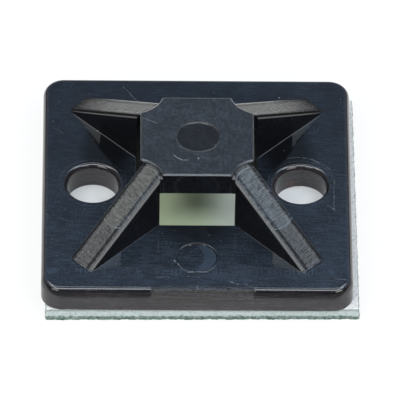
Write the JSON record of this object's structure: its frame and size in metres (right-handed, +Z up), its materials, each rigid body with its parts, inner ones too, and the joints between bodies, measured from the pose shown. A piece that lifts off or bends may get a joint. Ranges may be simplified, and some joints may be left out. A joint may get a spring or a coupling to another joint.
{
  "type": "cable tie mount",
  "caption": "Square black cable tie mount with a raised plate on diagonal ribs, tie passages both ways, screw holes and a foam adhesive pad with its release liner on.",
  "frame": {"origin": "underside of the release liner, below the centre of the moulded body", "axes": "+Z up out of the surface that the mount is stuck to; the ties pass along X and along Y; the screw holes lie on X and the ejector mark on the margin is towards -Y"},
  "size_m": [0.0286, 0.028, 0.0096],
  "materials": {
    "black_nylon": "moulded black nylon, polished, with light scratches",
    "foam": "fine closed-cell foam, matt",
    "liner": "thin coated release paper, satin"
  },
  "bodies": {
    "root": {"mount_body": "black_nylon", "foam_pad": "foam", "release_liner": "liner"}
  },
  "joints": []
}
